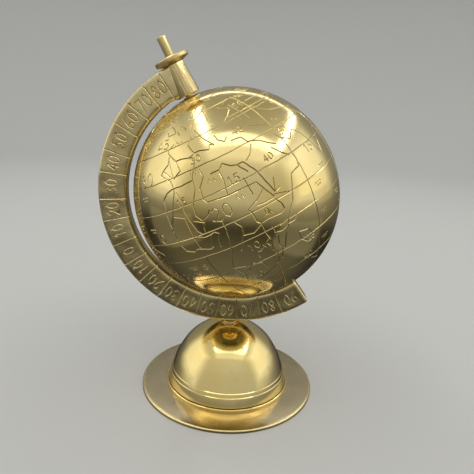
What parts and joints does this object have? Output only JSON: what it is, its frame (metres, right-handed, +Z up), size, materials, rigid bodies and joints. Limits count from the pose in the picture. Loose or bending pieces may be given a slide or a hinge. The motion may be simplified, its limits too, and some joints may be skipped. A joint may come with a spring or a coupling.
{
  "type": "table globe",
  "caption": "Engraved brass table globe that spins on a tilted axle in a half-circle meridian arc, which swivels on a domed base with a flat round brim.",
  "frame": {"origin": "centre of the base plate's underside, on the swivel's axis", "axes": "+Z up along the swivel's axis; the meridian arc lies in the XZ plane on the -X side of the globe, and the globe's north pole leans towards -X"},
  "size_m": [0.1181, 0.1, 0.1769],
  "materials": {
    "polished_brass": "mirror polished, lightly hand-worn",
    "satin_brass": "satin, slightly tarnished",
    "arc_brass": "semi-polished casting",
    "turned_brass": "turned, bright",
    "steel": "plain zinc-plated steel"
  },
  "bodies": {
    "base": {"base_plate": "satin_brass", "foot_ring": "polished_brass", "base_dome": "polished_brass", "neck_collar": "turned_brass", "plate_screw_1": "steel", "plate_screw_2": "steel", "plate_screw_3": "steel", "stud_washer": "steel"},
    "meridian": {"meridian_arc": "arc_brass", "north_boss": "turned_brass", "south_thrust_washer": "steel", "swivel_stud": "steel", "stud_lock_washer": "steel", "stud_nut": "turned_brass"},
    "axle": {"axle_rod": "turned_brass", "axle_knob": "turned_brass", "axle_handle": "turned_brass"},
    "globe": {"globe_north_shell": "polished_brass", "globe_south_shell": "polished_brass", "equator_band": "turned_brass", "north_pole_bush": "turned_brass", "south_pole_bush": "turned_brass"}
  },
  "joints": [
    {"name": "meridian_swivel", "type": "hinge", "parent": "base", "child": "meridian", "pos_m": [0, 0, 0.0375], "axis": [0, 0, 1], "continuous": true},
    {"name": "axle_turn", "type": "hinge", "parent": "meridian", "child": "axle", "pos_m": [0, 0, 0.1052], "axis": [-0.4772, 0, 0.8788], "continuous": true},
    {"name": "globe_spin", "type": "hinge", "parent": "meridian", "child": "globe", "pos_m": [0, 0, 0.1052], "axis": [-0.4772, 0, 0.8788], "continuous": true}
  ]
}
